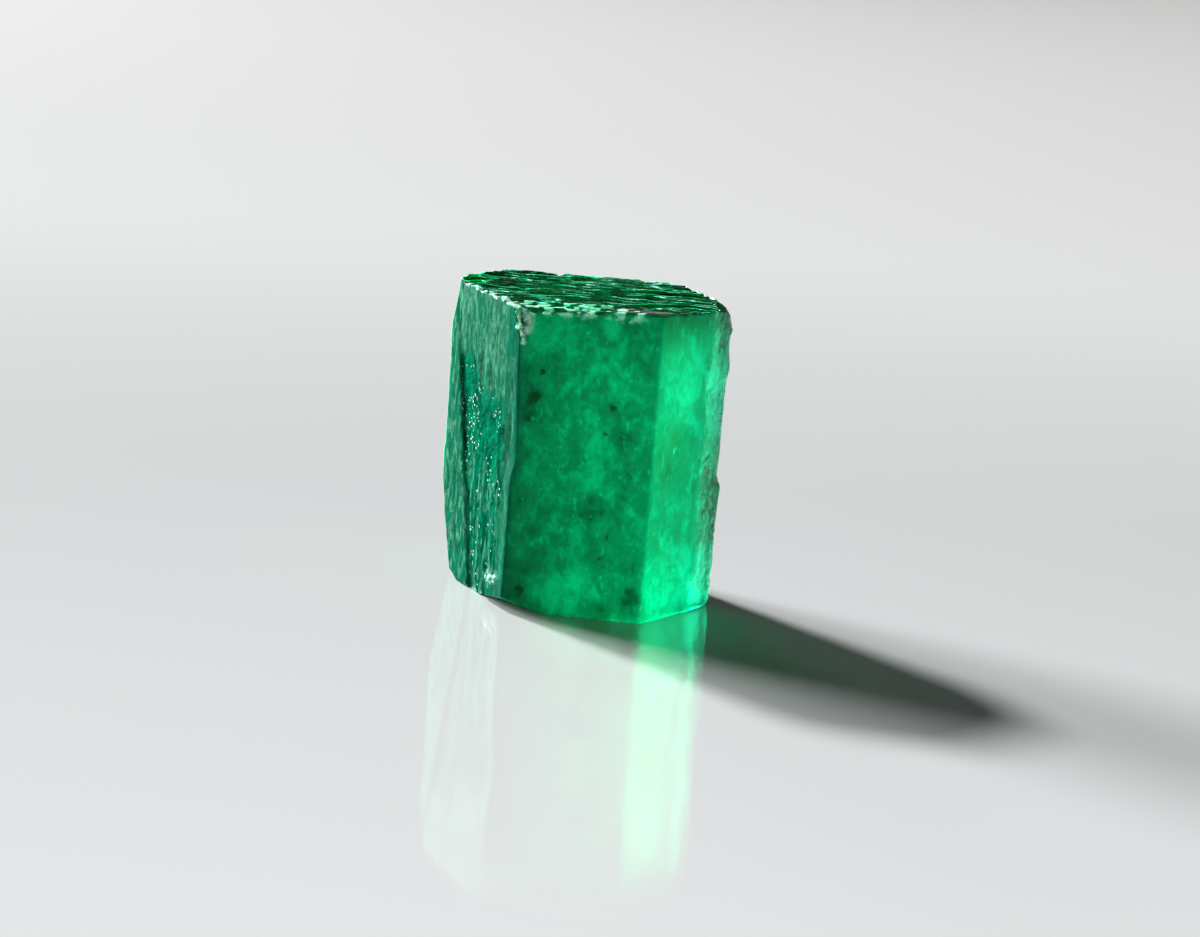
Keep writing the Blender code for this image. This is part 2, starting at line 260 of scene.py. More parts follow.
def left_front_skin(run, height):
    """Frosted at the top, etched below, with slats in its lower half; run is from the front edge."""
    rag = wave(run, height, "left rag")
    past_cleft = after(CLEFT_EDGE, run - cleft_line(height))
    inside = after(STRIP_EDGE, run + STRIP_RAG * rag) * (1.0 - past_cleft)
    etch_top = height + ETCH_TOP_RAG * rag - ETCH_TOP_SLOPE * (run - ETCH_TOP_RUN)
    below_frost = before(ETCH_TOP, etch_top)
    low = before(SLATS_TOP, height + SLATS_RAG * rag)
    breaks = wave(run, height, "left breaks")
    slat = after(SLAT_EDGE, wave(run, height, "left slats") + SLAT_BREAKS * breaks)
    patch = after(PATCH_EDGE, wave(run, height, "left patches") + PATCH_BREAKS * breaks)

    above = height - LEDGE_HEIGHT + LEDGE_SLOPE * run
    reach = after(LEDGE_START, run) * before(LEDGE_END, run)
    ledge = after(LEDGE_FOOT, above + LEDGE_RAG * rag) * before(LEDGE_LIP, above) * reach
    notch = after(NOTCH_FOOT, above) * before(NOTCH_TOP, above) * reach
    plain_foot = before(LEDGE_PLAIN_END, run) * before(LEDGE_LINE, above)

    field = inside * below_frost * (1.0 - plain_foot)
    outer = OUTER_ETCH * past_cleft * low * (1.0 - slat)
    etched = max(field * (1.0 - SLAT_COVER * low * slat), outer)
    opened = after(CLEFT_OPENS, height) * before(CLEFT_CLOSES, height)
    opened = max(opened, before(CLEFT_FOOT_CLOSES, height))
    cleft = past_cleft * before(CLEFT_WIDTH, run - cleft_line(height)) * opened
    depth = ETCH_DEPTH + ETCH_GRAIN_DEPTH * swell(run, height, "left grain")
    depth *= etched * (1.0 - SLAT_SHALLOWS * low)
    depth += GROOVE_DEPTH * low * inside * (1.0 - wave(run, height, "left grooves"))
    depth += CLEFT_DEPTH * cleft + NOTCH_DEPTH * notch - LEDGE_RISE * ledge

    streak = after(STREAK_EDGE, wave(run, height, "left streaks"))
    upper = UPPER_FROST + STREAK_FROST * streak + BLOTCH_FROST * wave(run, height, "left blotches")
    upper *= (1.0 - below_frost) * inside * (WHITER[0] + WHITER[1] * after(WHITER_FROM, run))
    strip = (1.0 - inside) * (1.0 - past_cleft) * before(STRIP_END, height)
    strip *= STRIP_FROST + STRIP_FROST_RAG * rag
    beyond = past_cleft * (1.0 - cleft) * (OUTER_FROST + PATCH_FROST * patch)
    slatted = low * inside * slat * (SLAT_FROST + SLAT_STREAK_FROST * streak)
    # the sugar grains swarm over the etched field; their white is partly painted glints
    swarm = after(SWARM_EDGE, wave(run, height, "left swarms"))
    sugar = max(ETCH_SUGAR * etched * swarm, CLEFT_SUGAR * cleft, LEDGE_GLINT_SUGAR * ledge)
    kept = after(LEFT_MARGIN, run)
    # the ledge's frost is partly a painted glint
    frost = max(upper, strip, beyond, slatted, ledge)
    return depth, kept * frost, kept * max(etched, cleft), kept * sugar


# Front face: runs are from the front left edge
HILLOCK_DEPTH = 0.003
BRUISE_FOOT = (9.0, 9.3)
BRUISE_END = (3.6, 4.2)
BRUISE_EDGE = (-0.05, 0.25)
BRUISE_DEPTH = 0.030
BRUISE_FROST = 0.8
CHIP_PLACE = (0.15, 8.62)
CHIP_SQUASH = 0.8
CHIP_RADIUS = (0.10, 0.32)
CHIP_RAG = 0.3
CHIP_FROST = 0.7


def front_skin(run, height):
    """The best face: smooth, with faint growth hillocks; run is from the front left edge."""
    bruise = after(BRUISE_FOOT, height) * after(BRUISE_EDGE, wave(run, height, "front bruises"))
    bruise *= before(BRUISE_END, run)
    from_chip = math.hypot(run - CHIP_PLACE[0], (height - CHIP_PLACE[1]) * CHIP_SQUASH)
    chip = before(CHIP_RADIUS, from_chip + CHIP_RAG * wave(run, height, "front chip"))
    depth = HILLOCK_DEPTH * (1.0 + wave(run, height, "front hillocks")) + BRUISE_DEPTH * bruise
    return depth, max(BRUISE_FROST * bruise, CHIP_FROST * chip), bruise, max(bruise, chip)


# Right front face: runs are from the right edge, and a band beside it is worn
BAND_EDGE = (0.95, 1.45)
BAND_RAG = 0.25
BAND_FROST = 0.25
BAND_ETCH = 0.8
SCRATCH_DEPTH = 0.016
CRACKLE_EDGE = (0.0, 0.3)
CRACKLE_DEPTH = 0.030
LUMP_DEPTH = 0.020
WORN_FOOT = (4.9, 5.9)
WORN_TOP = (7.9, 8.5)
WORN_LOW_TOP = (1.9, 2.6)
WORN_FROST = 0.20
WORN_SPECK_EDGE = (-0.10, 0.25)
WORN_SPECK_FROST = 0.45
CRUMB_EDGE = (0.12, 0.34)
CRUMB_SUGAR = 0.8
CRACK_EDGE = (0.35, 0.85)
CRACK_BREAKS = (-0.05, 0.15)
CRACK_END = (0.9, 1.3)
CRACK_DARKNESS = 0.75


def right_front_skin(run, height):
    """Smooth, then scratched and crackled towards the right edge; run is from that edge."""
    band = before(BAND_EDGE, run + BAND_RAG * wave(run, height, "right rag"))
    scratch = 1.0 - swell(run, height, "right scratches")
    crackled = after(CRACKLE_EDGE, wave(run, height, "right crackled"))
    crackle = ridge(run, height, "right crackle") * crackled
    lump = swell(run, height, "right lumps")
    depth = band * (SCRATCH_DEPTH * scratch + CRACKLE_DEPTH * crackle + LUMP_DEPTH * lump)
    depth += HILLOCK_DEPTH * (1.0 + wave(run, height, "right hillocks"))
    worn = max(after(WORN_FOOT, height) * before(WORN_TOP, height), before(WORN_LOW_TOP, height))
    speck = after(WORN_SPECK_EDGE, wave(run, height, "right specks"))
    frost = BAND_FROST + worn * (WORN_FROST + WORN_SPECK_FROST * speck)
    crumb = worn * after(CRUMB_EDGE, wave(run, height, "right crumbs"))
    return depth, band * max(frost, crumb), BAND_ETCH * band, CRUMB_SUGAR * band * crumb


def right_cracks(run, height):
    """Hairline cracks in the band beside the right edge; run is from that edge."""
    crack = max(ridge(run, height, "upright cracks"), ridge(run, height, "level cracks"))
    broken = after(CRACK_BREAKS, wave(run, height, "broken cracks"))
    return CRACK_DARKNESS * before(CRACK_END, run) * broken * after(CRACK_EDGE, crack)


# The faces behind
BACK_SCRATCH_DEPTH = 0.030
BACK_LUMP_DEPTH = 0.030
BACK_PATCH_EDGE = (-0.05, 0.35)
BACK_PATCH_FROST = 0.7
BACK_PATCH_ETCH = 0.7
BACK_SLATS = {"edge": (-0.05, 0.15), "deep": 0.020, "deeper": 0.030, "frost": 0.25, "etch": 0.8}
LEFT_BACK_SLATS = {"edge": (-0.05, 0.12), "deep": 0.025, "deeper": 0.035, "frost": 0.30, "etch": 0.9}


def right_back_skin(run, height):
    """Scratched from the right edge round to the back; run is from the right edge."""
    depth = BACK_SCRATCH_DEPTH * (1.0 - swell(run, height, "right back scratches"))
    depth += BACK_LUMP_DEPTH * swell(run, height, "right back lumps")
    patch = after(BACK_PATCH_EDGE, wave(run, height, "right back patches"))
    return depth, BACK_PATCH_FROST * patch, BACK_PATCH_ETCH, 0.0


def slatted_skin(slat, grain, looks):
    """Upright slats that stand above an etched and grainy ground."""
    slat = after(looks["edge"], slat)
    depth = (1.0 - slat) * (looks["deep"] + looks["deeper"] * grain)
    return depth, looks["frost"] * slat, looks["etch"] * (1.0 - slat), 0.0


def back_skin(run, height):
    """Grooved upright; run is from the right."""
    slat = wave(run, height, "back slats")
    return slatted_skin(slat, swell(run, height, "back grain"), BACK_SLATS)


def left_back_skin(run, height):
    """Slatted like the left front face; run is from the left edge."""
    slat = wave(run, height, "left back slats")
    return slatted_skin(slat, swell(run, height, "left back grain"), LEFT_BACK_SLATS)


# Top
TERRACE_DRIFT = 0.18
TERRACE_DEPTH = 0.070
FINE_TERRACE_DEPTH = 0.024
LIP_START = (0.2, 1.2)
LIP_END = (0.6, 1.4)
LIP_CALM = 0.85
CREST_EDGE = (0.55, 0.95)
FINE_CREST_EDGE = (0.6, 1.0)
FINE_CREST = 0.7
CREST_PATCH_EDGE = (-0.35, 0.15)
CREST_SUGAR_EDGE = (0.0, 0.3)
# Crests are frosted pale: partly real frost, partly painted glints along them
CREST_GLINT_FROST = 0.60
CREST_ETCH = 0.8


def top_skin(right, back, from_front):
    """Broken across in fine terraces that run along the front and back edges."""
    inwards = back + TERRACE_DRIFT * wave(right, back, "terrace drift")
    coarse = ridge(right, inwards, "coarse terraces")
    fine = ridge(right, inwards, "fine terraces")
    calm = 1.0 - LIP_CALM * after(LIP_START, right) * before(LIP_END, from_front)
    depth = (TERRACE_DEPTH * (1.0 - coarse) + FINE_TERRACE_DEPTH * (1.0 - fine)) * calm
    crest = calm * max(after(CREST_EDGE, coarse), FINE_CREST * after(FINE_CREST_EDGE, fine))
    crest *= after(CREST_PATCH_EDGE, wave(right, back, "crest patches"))
    sugar = crest * after(CREST_SUGAR_EDGE, wave(right, back, "crest sugar"))
    return depth, CREST_GLINT_FROST * crest, CREST_ETCH * crest, sugar


# For each face: its skin, the face whose shared edge a run starts from, how cloudy it is under the
# skin, where 0 lets the eye in and 1 spreads all light, and how much of the inside the skin hides,
# by itself and where it is frosted
SKINS = {
    "front": (front_skin, "left_front", 0.75, (0.0, 0.0)),
    "right_front": (right_front_skin, "right_back", 0.72, (0.0, 0.0)),
    "right_back": (right_back_skin, "right_front", 0.60, (0.0, 0.9)),
    "back": (back_skin, "right_back", 0.40, (0.0, 0.0)),
    "left_back": (left_back_skin, "left_front", 0.40, (0.7, 0.0)),
    "left_front": (left_front_skin, "front", 0.06, (1.0, 0.0)),
}
TOP_CLOUD = 0.08
TOP_DENSE = (0.2, 1.5)  # by itself and where it is frosted

# Clouds inside, seen through a face: run, height, half width, half height, and how much paler (above
# 0) or deeper green (below 0) the beryl is there
CLOUDS = {
    "front": (
        (0.80, 8.80, 0.90, 0.60, 0.90),
        (2.75, 9.00, 0.34, 0.42, 1.60),
        (3.65, 8.75, 0.55, 0.45, -0.35),
        (0.75, 6.80, 0.75, 1.30, -0.35),
        (2.20, 7.70, 1.10, 0.90, 0.45),
        (2.40, 6.00, 0.35, 0.70, 0.30),
        (1.10, 4.40, 0.70, 0.90, 0.25),
        (2.50, 3.40, 0.70, 0.40, -0.60),
        (0.10, 1.10, 0.75, 0.85, -0.50),
        (1.60, 0.70, 1.40, 0.60, 0.75),
        (3.95, 0.75, 0.35, 0.50, -1.10),
    ),
    "right_front": (
        (2.83, 8.90, 0.16, 0.22, 0.90),
        (2.60, 9.20, 1.90, 0.60, -0.85),
        (1.90, 7.20, 1.30, 1.20, 0.30),
        (2.80, 4.90, 0.90, 1.10, -0.80),
        (2.10, 1.00, 1.60, 1.60, 0.45),
    ),
}
CLOUD_EDGE = (0.35, 1.35)  # share of the half size at which a cloud begins to end, and has ended
CLOUD_DRIFT = 0.45  # mm that a wide cloud's outline winds
CLOUD_FINE_DRIFT = 0.20

# Dark mineral grains close under the front face: run, height and radius
GRAINS = (
    (0.63, 6.72, 0.20),
    (0.47, 6.52, 0.14),
    (0.80, 7.46, 0.10),
    (0.42, 5.98, 0.12),
    (3.02, 6.57, 0.12),
    (2.86, 5.76, 0.08),
    (2.26, 4.93, 0.07),
    (1.30, 5.55, 0.06),
    (2.95, 1.90, 0.06),
    (3.10, 2.60, 0.05),
    (0.55, 0.70, 0.16),
)
GRAIN_EDGE = (0.6, 1.5)  # share of the radius at which a grain begins to end, and has ended
GRAIN_RAG = 0.5


def winding(run, height, coarse, fine):
    """How far a cloud's outline winds at a place."""
    return CLOUD_DRIFT * wave(run, height, coarse) + CLOUD_FINE_DRIFT * wave(run, height, fine)


def cloud_tone(name, run, height):
    """How much paler or deeper the beryl is behind a place on a face."""
    drift = winding(run, height, "cloud drift", "fine cloud drift")
    rise = winding(run, height, "cloud rise", "fine cloud rise")
    tone = 0.0
    for centre, middle, half_width, half_height, amount in CLOUDS.get(name, ()):
        across = (run + drift * min(1.0, half_width) - centre) / half_width
        upward = (height + rise * min(1.0, half_height) - middle) / half_height
        tone += amount * before(CLOUD_EDGE, math.hypot(across, upward))
    return tone


def grain_share(run, height):
    """1 in a dark grain and 0 away from them."""
    rag = GRAIN_RAG * wave(run, height, "mineral grains")
    return max(
        before(GRAIN_EDGE, math.hypot(run - centre, height - middle) / radius + rag)
        for centre, middle, radius in GRAINS
    )


# ---- The skin ------------------------------------------------------------------------------------

# The shade layer is painted shade, on the top and on the dark rims
SKIN_LAYERS = ("frost", "etch", "sugar", "cloud", "painted_shade", "dense", "pale", "tone", "grain")
# The right faces, whose paler greens are a painted glow of the light that shines through them
GLOW_PAINTED_FACES = ("right_front", "right_back")
DARK_SPOTS = {"front": grain_share, "right_front": right_cracks}

FACE_REACH = (0.22, 0.42)  # a point this far under a face begins to leave it, and has left it
FACE_TURN = (0.35, 0.85)  # cosine of the angle to the face at which a point leaves it
INNER_SHARE = 0.9  # a point is inside a face that has more than this share of it,
INNER_TURN = 0.93  # where the cosine of the angle between them is more than this,
INNER_HEIGHT = 0.05  # and where it is clear of the base
TOP_TURN = 0.8
SMOOTHINGS = {"faces": 3, "top": 9}  # how often points are moved this far towards their neighbours
SMOOTHING = 0.5
BASE_HEIGHT = 0.02  # what is lower than this stays on the ground

# Grains crushed out of the top's edges: REACH is how far they get from it, and EDGE is where their
# noise begins to bear them
FRONT_SUGAR_SHAPE = (2.0, 0.3)  # they reach further back than down
FRONT_SUGAR_REACH = (0.35, 0.60)
FRONT_SUGAR_EDGE = (0.0, 0.14)
FRONT_SUGAR_END = (1.8, 2.4)
LEFT_SUGAR_REACH = (0.14, 0.30)
LEFT_SUGAR_EDGE = (-0.25, -0.05)
CORNER_SUGAR_REACH = (0.25, 0.50)
CORNER_SUGAR_EDGE = (-0.45, -0.15)
CORNER_SUGAR_FOOT = (0.7, 1.0)

# Points on the edges, which no face has all of: how they are worn, and where painted shade darkens them
EDGE_WEAR = 0.02
EDGE_LUMP_SIZE = 0.25
EDGE_CLOUD = 0.5
RIM_TURN = (0.15, 0.45)
RIM_FROST = 0.25
RIM_PATCH_FROST = 0.50
RIM_PATCH_SIZE = 0.35
RIM_FROST_END = (-0.5, 1.0)
RIM_ETCH = 0.3
TOP_RIM = (8.0, 8.5)
BACK_RIM = (0.5, 1.5)
LEFT_RIM = (3.0, 4.0)
LEFT_CORNER_BACK = (1.8, 2.6)
LEFT_CORNER_TURN = (0.90, 0.985)
RIGHT_EDGE = (2.6, 3.4)
RIGHT_EDGE_SHARE = (0.35, 0.85)
RIGHT_EDGE_PAINTED_SHADE = 0.85
FRONT_LIP_START = (-0.5, 0.5)
FRONT_LIP_REACH = (1.0, 2.0)
RIM_DENSE = 2.5


def prism_reaches(bm):
    """How far each prism face stands out from the origin."""
    return {
        name: max(direction(azimuth).dot(vert.co) for vert in bm.verts)
        for name, azimuth in PRISM_FACES.items()
    }


def run_from(name, other, reaches):
    """A function of a place: how far along one face it is from the edge shared with another."""
    normal = direction(PRISM_FACES[name])
    beyond = direction(PRISM_FACES[other])
    square = Matrix((normal.xy, beyond.xy))
    corner = square.inverted() @ Vector((reaches[name], reaches[other]))
    inwards = Vector((-normal.y, normal.x))
    if inwards.dot(beyond.xy) > 0.0:
        inwards.negate()
    return lambda place: inwards.dot(place.xy - corner)


def share_of(vert, normal, reach):
    """How much of a point belongs to the face with a normal and a reach, from 0 to 1."""
    under = before(FACE_REACH, reach - normal.dot(vert.co))
    return under * after(FACE_TURN, normal.dot(vert.normal))


def smooth_facets(bm, planes, top):
    """Smooth the facets inside each plane of the solid, and the broken top the most."""
    inner = []
    for vert in bm.verts:
        alone = max(share_of(vert, normal, reach) for normal, reach in planes)
        turned = max(normal.dot(vert.normal) for normal, _reach in planes)
        if alone > INNER_SHARE and turned > INNER_TURN and vert.co.z > INNER_HEIGHT:
            inner.append(vert)
    broken = [vert for vert in inner if top.dot(vert.normal) > TOP_TURN]
    for verts, passes in ((inner, SMOOTHINGS["faces"]), (broken, SMOOTHINGS["top"])):
        for _pass in range(passes):
            bmesh.ops.smooth_vert(
                bm, verts=verts, factor=SMOOTHING, use_axis_x=True, use_axis_y=True, use_axis_z=True
            )
    bm.normal_update()


def edge_sugar(place, under_top, reaches):
    """Grains crushed out of the top's front and left edges."""
    behind_front = reaches["front"] + place.y
    behind_left = reaches["left_front"] - direction(PRISM_FACES["left_front"]).dot(place)
    downwards, backwards = FRONT_SUGAR_SHAPE
    down = place.z - place.y
    front = after(FRONT_SUGAR_EDGE, wave(place.x, down, "front sugar"))
    front *= before(FRONT_SUGAR_REACH, math.hypot(downwards * under_top, backwards * behind_front))
    front *= before(FRONT_SUGAR_END, place.x)
    left = after(LEFT_SUGAR_EDGE, wave(place.x + place.y, down, "left sugar"))
    left *= before(LEFT_SUGAR_REACH, math.hypot(under_top, behind_left))
    corner = after(CORNER_SUGAR_EDGE, wave(place.x - place.y, place.z, "corner sugar"))
    corner *= before(CORNER_SUGAR_REACH, math.hypot(behind_front, behind_left))
    corner *= before(CORNER_SUGAR_FOOT, under_top)
    return max(front, left, corner)


def lay_skin(note, share, worn, cloud, dense):
    """Add a face's share of a point to its note, and return how deep the point is worn by it."""
    depth, frosted, etched, sugary = worn
    note["frost"] += share * frosted
    note["etch"] += share * etched
    note["sugar"] += share * sugary
    note["cloud"] += share * cloud
    note["dense"] += share * (dense[0] + dense[1] * frosted)
    return share * depth


def note_edges(note, place, normal, loose):
    """Add to a point's note what the edges are like; loose is the share that no face has."""
    rim = loose * after(RIM_TURN, abs(normal.z))
    at_top = after(TOP_RIM, place.z)
    behind = max(after(BACK_RIM, place.y), after(LEFT_RIM, -place.x)) * at_top
    turned = before(LEFT_CORNER_TURN, direction(PRISM_FACES["left_front"]).dot(normal))
    beside = after(LEFT_RIM, -place.x) * before(LEFT_CORNER_BACK, place.y) * turned
    along_right = after(RIGHT_EDGE, place.x) * after(RIGHT_EDGE_SHARE, loose)
    front_lip = rim * after(FRONT_LIP_START, place.x) * after(FRONT_LIP_REACH, -place.y) * at_top
    # Painted shade: the rims behind, the left corner, the right edge and the front lip are painted dark
    dark = beside + max(RIGHT_EDGE_PAINTED_SHADE * along_right, front_lip)
    note["painted_shade"] += loose * behind + dark
    note["dense"] += min(1.0, RIM_DENSE * loose) * behind + dark
    note["frost"] *= 1.0 - min(1.0, beside)
    bright = rim * (1.0 - behind) * before(RIM_FROST_END, place.x)
    note["frost"] += bright * (RIM_FROST + RIM_PATCH_FROST * noise.noise(place / RIM_PATCH_SIZE))
    note["etch"] += RIM_ETCH * rim


def wear_skin(bm):
    """Smooth the facets inside each face, carve the fine relief, and note what the skin is like."""
    reaches = prism_reaches(bm)
    top = Vector((*TOP_TILT, 1.0)).normalized()
    top_reach = max(top.dot(vert.co) for vert in bm.verts)
    planes = [(direction(azimuth), reaches[name]) for name, azimuth in PRISM_FACES.items()]
    bm.normal_update()
    smooth_facets(bm, [*planes, (top, top_reach)], top)

    runs = {name: run_from(name, looks[1], reaches) for name, looks in SKINS.items()}
    layers = {name: bm.verts.layers.float.new(name) for name in SKIN_LAYERS}
    moves = []
    for vert in bm.verts:
        place = vert.co.copy()
        shift = Vector()
        note = dict.fromkeys(SKIN_LAYERS, 0.0)
        total = 0.0

        for name, (skin, _other, cloud, dense) in SKINS.items():
            normal = direction(PRISM_FACES[name])
            share = share_of(vert, normal, reaches[name])
            if share > 0.0:
                run = runs[name](place)
                shift -= normal * lay_skin(note, share, skin(run, place.z), cloud, dense)
                note["tone"] += share * cloud_tone(name, run, place.z)
                if name in DARK_SPOTS:
                    note["grain"] += share * DARK_SPOTS[name](run, place.z)
                # the right faces take the paler greens, a painted glow
                if name in GLOW_PAINTED_FACES:
                    note["pale"] += share
                total += share
        share = share_of(vert, top, top_reach)
        if share > 0.0:
            worn = top_skin(place.x, place.y, reaches["front"] + place.y)
            shift -= top * lay_skin(note, share, worn, TOP_CLOUD, TOP_DENSE)
            # the whole top is painted darker, as painted shade
            note["painted_shade"] += share
            total += share

        loose = max(0.0, 1.0 - total)
        lump = 1.0 + noise.noise(place / EDGE_LUMP_SIZE)
        shift -= vert.normal * loose * EDGE_WEAR * lump
        note_edges(note, place, vert.normal, loose)
        sugar = edge_sugar(place, top_reach - top.dot(place), reaches)
        for name in ("frost", "etch", "sugar"):
            note[name] = max(note[name], sugar)
        note["cloud"] = (note["cloud"] + loose * EDGE_CLOUD) / (total + loose)
        if place.z < BASE_HEIGHT:
            shift.z = 0.0
        for name, layer in layers.items():
            vert[layer] = note[name] if name == "tone" else min(1.0, max(0.0, note[name]))
        moves.append(shift)
    for vert, shift in zip(bm.verts, moves):
        vert.co += shift


# ---- Materials -----------------------------------------------------------------------------------


def linear(hex_colour, alpha=1.0):
    """An sRGB hex colour as linear RGBA."""
    channels = [int(hex_colour[i : i + 2], 16) / 255.0 for i in (1, 3, 5)]
    turned = [c / 12.92 if c <= 0.04045 else ((c + 0.055) / 1.055) ** 2.4 for c in channels]
    return (*turned, alpha)


def add(tree, kind, sockets=None, output=0, **properties):
    """Add a node and return an output of it; sockets gives values, or the outputs that feed them.

    A colour Mix node has its factor and two colours at 0, 6 and 7, and its output at 2.
    """
    node = tree.nodes.new(kind)
    for name, value in properties.items():
        setattr(node, name, value)
    for key, value in (sockets or {}).items():
        if isinstance(value, bpy.types.NodeSocket):
            tree.links.new(value, node.inputs[key])
        else:
            node.inputs[key].default_value = value
    return node.outputs[output]


BERYL_IOR = 1.577
SHEEN_TINT = (0.1, 1.0, 0.6, 1.0)  # the clouds lie so near the skin that its sheen is green too
ABSORBED_PER_MM = (0.60, 0.015, 0.065)  # what a millimetre of it takes from red, green and blue
CLOUD_DEPTH = 0.4  # mm that light wanders in the cloud, and the share of it for red, green and blue
CLOUD_DEPTHS = (0.15, 1.0, 0.55)
GLINT_ROUGHNESS = 0.08

# Noise inside the beryl and on its skin: the width and height of its marks in millimetres, then its
# detail, roughness and swirl
MARKS = {
    "clouds": (1.10, 1.50, 3.0, 0.60, 0.0),
    "mottles": (0.50, 0.60, 3.0, 0.58, 0.45),
    "flecks": (0.24, 0.42, 2.0, 0.60, 0.0),
    "grain": (0.09, 0.12, 3.0, 0.70, 0.0),
    "striae": (0.09, 0.50, 2.0, 0.50, 0.0),
    "streaks": (0.18, 0.45, 3.0, 0.65, 0.0),
    "worn": (0.17, 0.32, 3.0, 0.65, 0.0),
    "crumbs": (0.16, 0.20, 2.0, 0.60, 0.0),
}
MOTTLE_GAINS = {"clouds": 2.0, "mottles": 3.4, "crumbs": 1.2}
MID_MARKS = (0.35, 0.65)  # most of a noise lies between these
TONE_SPAN = 1.2  # a tone this far from 0 has the deepest or the palest green

# Greens that the eye sees into: the deepest, the middle and the palest, and how much they are mottled
DEEP_GREENS = ("#001c0a", "#008e59", "#00f8b4", 1.0)
# Paler greens for the right faces, a painted glow of the light that shines through them
PAINTED_GLOW_GREENS = ("#005c30", "#009a6a", "#00ffe4", 0.7)
FLECK = "#00ffd8"
FLECK_MARKS = (0.62, 0.74)
FLECK_SHARE = 0.60
SPECK = "#0c1c00"
SPECK_EDGE = (0.15, 0.85)
SPECK_RAGGED = 0.8

# Skins that hide the inside, and painted shade: the noise that mottles each, and its two colours
DENSE_GREENS = {
    "etched": ("mottles", "#003c28", "#006647"),
    "plain": ("streaks", "#064632", "#0d6148"),
    # painted shade, for the top and the dark rims
    "painted_shade_green": ("mottles", "#002c10", "#005428"),
    "frosted": ("worn", "#053e2a", "#3e8066"),
}
CLEAR_FROST = "#c8ffe8"
FROST_EDGE = (0.25, 0.80)
FROST_RAGGED = 1.1
CRUSHED = "#c4ffe4"
CRUSHED_EDGE = (0.80, 1.10)
CRUST_EDGE = (0.50, 0.80)
CRUST_RAGGED = 1.6
CRUST_COVER = 0.6
DENSE_COVER = 0.97

SUGAR_SIZE = 0.09  # mm from one crystal grain to the next
SUGAR_PICKED = (1.35, 1.40)  # a cell holds a grain where its chance and the sugar add up to this
SUGAR_RADIUS = (0.15, 0.46)
SUGAR_FACE = (0.15, 0.35)
# The grains are whitened: partly their own white, partly a painted glint
SUGAR_GLINT_COLOUR = "#c8f4e0"

POLISH = 0.05  # roughness of a clean growth face
CLOUD_MARKS = (0.3, 0.7)
CLOUD_SPREAD = (0.85, 1.10)
ETCHED_CLEAR = 0.25  # an etched skin keeps this share of the cloud's spread
CHALK = (0.10, 0.30)  # what frost adds to roughness on clear and on dense beryl

SHINGLE_RISE = 0.30  # mm from one etched shingle to the next
SHINGLE_DRIFT = 7.0
SHINGLE_DEPTH = 0.05  # mm, like the depths below
GRAIN_DEPTH = 0.03
GRAIN_ON_DENSE = 0.4
STRIAE_DEPTH = 0.012
SUGAR_DEPTH = 0.08


def noise_marks(tree, place):
    """The noises on the beryl, by name."""
    marks = {}
    for name, (width, height, detail, rough, swirl) in MARKS.items():
        per_metre = (1.0 / (width * MM), 1.0 / (width * MM), 1.0 / (height * MM))
        scaled = add(tree, "ShaderNodeMapping", {"Vector": place, "Scale": per_metre})
        sockets = {"Vector": scaled, "Scale": 1.0, "Detail": detail, "Roughness": rough}
        sockets["Distortion"] = swirl
        marks[name] = add(tree, "ShaderNodeTexNoise", sockets)
    return marks


def seen_into(tree, mottled, tone, greens):
    """The green of clouds in the beryl, from the deepest to the palest."""
    deepest, middle, palest, mottle_share = greens
    tone = add(tree, "ShaderNodeMath", {0: mottled, 1: mottle_share, 2: tone}, operation="MULTIPLY_ADD")
    deeper = add(tree, "ShaderNodeMapRange", {"Value": tone, "From Min": -TONE_SPAN, "From Max": 0.0})
    paler = add(tree, "ShaderNodeMapRange", {"Value": tone, "From Min": 0.0, "From Max": TONE_SPAN})
    sockets = {0: deeper, 6: linear(deepest), 7: linear(middle)}
    green = add(tree, "ShaderNodeMix", sockets, 2, data_type="RGBA")
    return add(tree, "ShaderNodeMix", {0: paler, 6: green, 7: linear(palest)}, 2, data_type="RGBA")


def inside_green(tree, skin, marks):
    """Clouds, light flecks and dark mineral grains, as they show through a clear skin."""
    mottled = -0.5 * sum(MOTTLE_GAINS.values())
    for name, gain in MOTTLE_GAINS.items():
        sockets = {0: marks[name], 1: gain, 2: mottled}
        mottled = add(tree, "ShaderNodeMath", sockets, operation="MULTIPLY_ADD")
    deep = seen_into(tree, mottled, skin["tone"], DEEP_GREENS)
    pale = seen_into(tree, mottled, skin["tone"], PAINTED_GLOW_GREENS)
    # the right faces are paler: a painted glow
    green = add(tree, "ShaderNodeMix", {0: skin["pale"], 6: deep, 7: pale}, 2, data_type="RGBA")
    sockets = {"Value": marks["flecks"], "From Min": FLECK_MARKS[0], "From Max": FLECK_MARKS[1]}
    sockets["To Max"] = FLECK_SHARE
    flecks = add(tree, "ShaderNodeMapRange", sockets)
    green = add(tree, "ShaderNodeMix", {0: flecks, 6: green, 7: linear(FLECK)}, 2, data_type="RGBA")
    ragged = ragged_edge(tree, marks["grain"], SPECK_RAGGED, skin["grain"], SPECK_EDGE)
    return add(tree, "ShaderNodeMix", {0: ragged, 6: green, 7: linear(SPECK)}, 2, data_type="RGBA")


def ragged_edge(tree, mark, raggedness, layer, edge):
    """0 to 1 over the edge of a layer, which a noise makes ragged."""
    centred = {0: mark, 1: raggedness, 2: -0.5 * raggedness}
    wander = add(tree, "ShaderNodeMath", centred, operation="MULTIPLY_ADD")
    wandering = add(tree, "ShaderNodeMath", {0: layer, 1: wander}, operation="ADD")
    sockets = {"Value": wandering, "From Min": edge[0], "From Max": edge[1]}
    return add(tree, "ShaderNodeMapRange", sockets)


